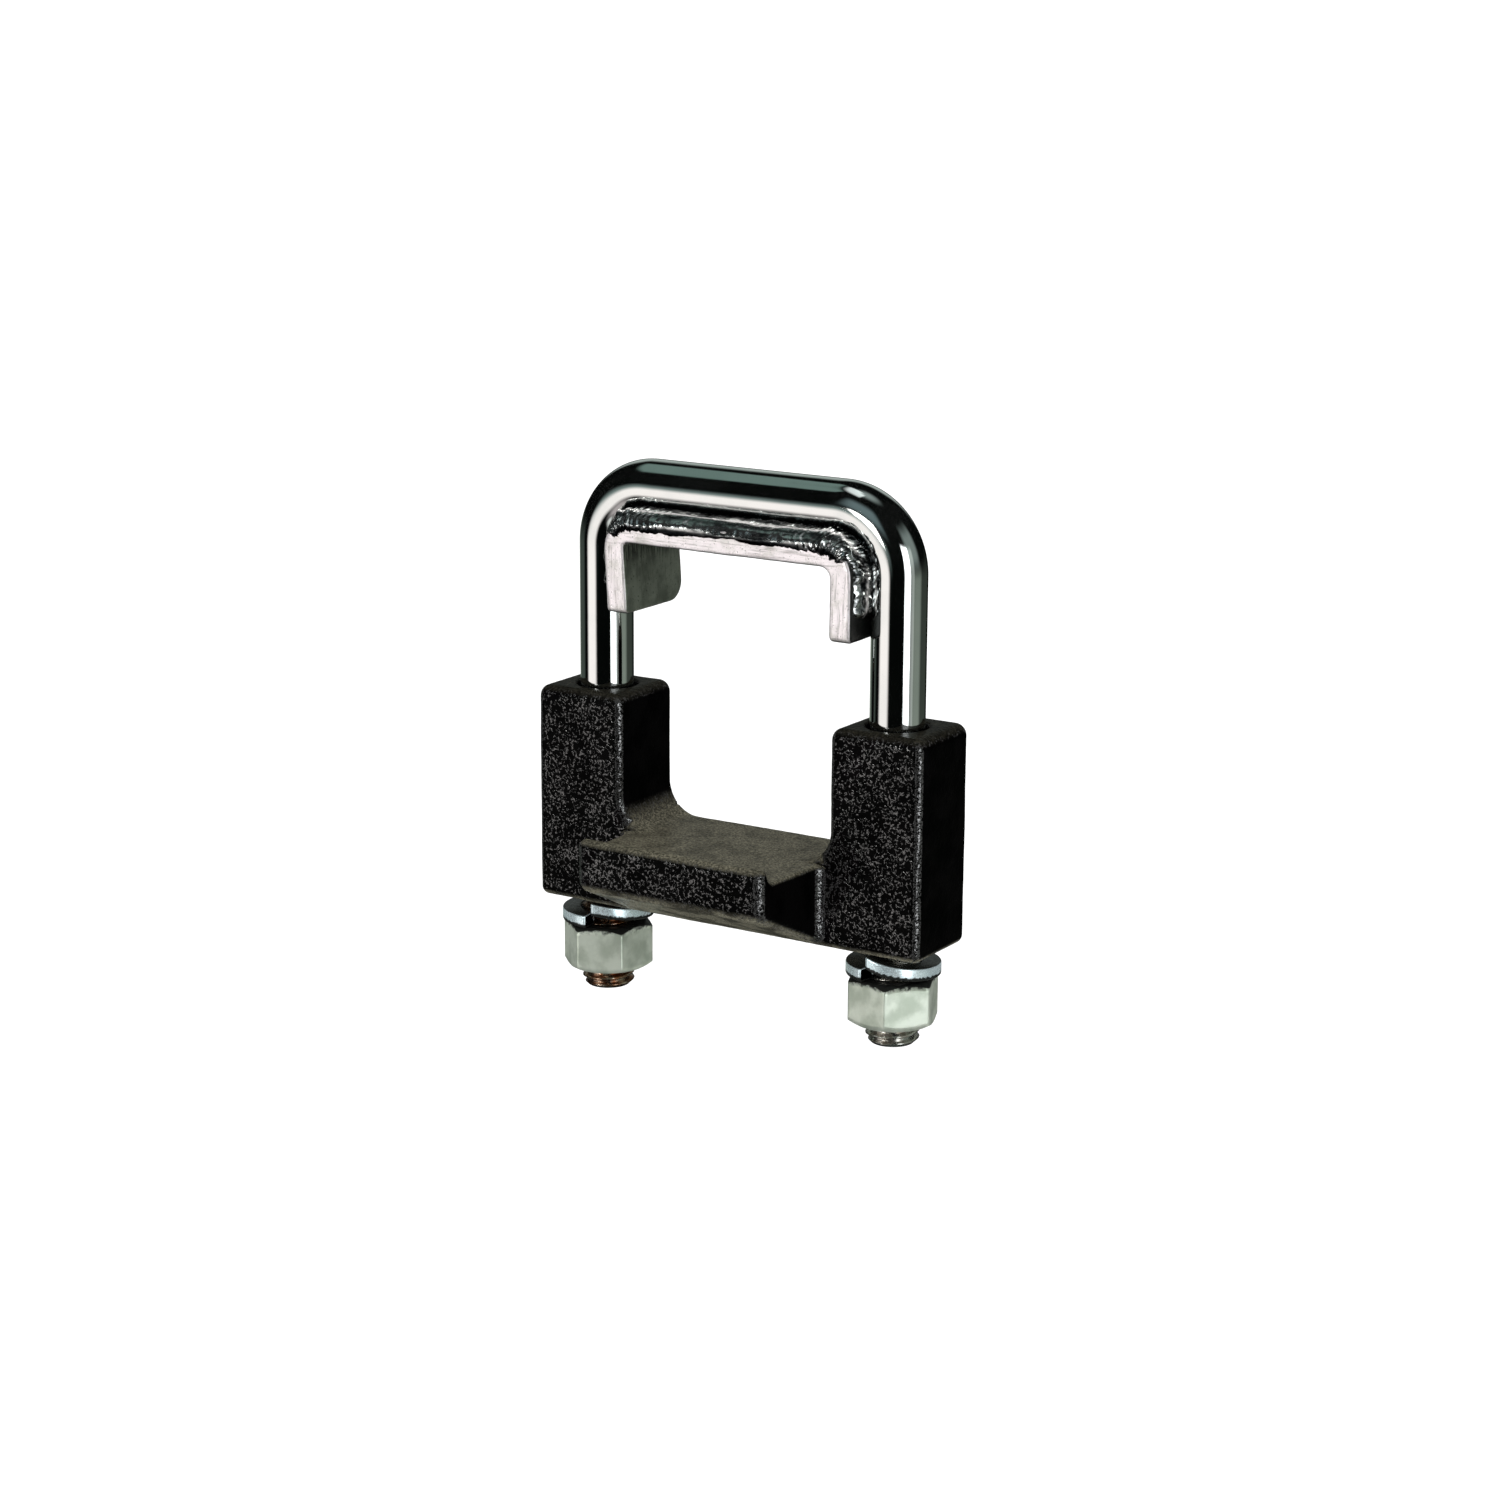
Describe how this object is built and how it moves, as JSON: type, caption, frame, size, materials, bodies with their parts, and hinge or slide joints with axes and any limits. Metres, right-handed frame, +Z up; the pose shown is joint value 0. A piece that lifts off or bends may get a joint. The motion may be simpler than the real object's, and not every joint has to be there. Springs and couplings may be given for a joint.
{
  "type": "u-bolt bar clamp",
  "caption": "Square-shouldered U-bolt with a welded arch bracket, drawn down by nuts and lock washers against a cast saddle with a lipped tongue to grip a square bar.",
  "frame": {"origin": "centre of the saddle's flat top face, in the plane of the U-bolt's two legs", "axes": "+Z up the legs towards the U-bolt's top bar, +X along the saddle from the left leg to the right one, -Y the way the saddle's tongue points"},
  "size_m": [0.1048, 0.0476, 0.1294],
  "materials": {
    "casting_paint": "glossy black hammered paint on a rough casting",
    "rod_chrome": "bright chrome plate on polished rod",
    "bracket_steel": "rough satin plated flat bar",
    "weld_metal": "plated rippled weld bead",
    "washer_zinc": "bright bluish zinc plate",
    "nut_zinc": "satin zinc plate"
  },
  "bodies": {
    "saddle": {"saddle_casting": "casting_paint", "lock_washer_left": "washer_zinc", "lock_washer_right": "washer_zinc"},
    "u_bolt": {"u_bolt": "rod_chrome", "clamp_bracket": "bracket_steel", "weld_top_front": "weld_metal", "weld_top_rear": "weld_metal", "weld_left_front": "weld_metal", "weld_left_rear": "weld_metal", "weld_right_front": "weld_metal", "weld_right_rear": "weld_metal"},
    "nut_left": {"hex_nut_left": "nut_zinc"},
    "nut_right": {"hex_nut_right": "nut_zinc"}
  },
  "joints": [
    {"name": "u_bolt_slide", "type": "slide", "parent": "saddle", "child": "u_bolt", "axis": [0, 0, 1], "range_m": [-0.01856, 0.00488]},
    {"name": "nut_left_spin", "type": "hinge", "parent": "saddle", "child": "nut_left", "pos_m": [-0.03975, 0, -0.032], "axis": [0, 0, 1], "range_deg": [-900, 3420]},
    {"name": "nut_right_spin", "type": "hinge", "parent": "saddle", "child": "nut_right", "pos_m": [0.03975, 0, -0.032], "axis": [0, 0, 1], "range_deg": [-900, 3420]}
  ],
  "couplings": [
    {"joint": "nut_left_spin", "follows": "u_bolt_slide", "rad_per_m": -3215.8},
    {"joint": "nut_right_spin", "follows": "u_bolt_slide", "rad_per_m": -3215.8}
  ]
}
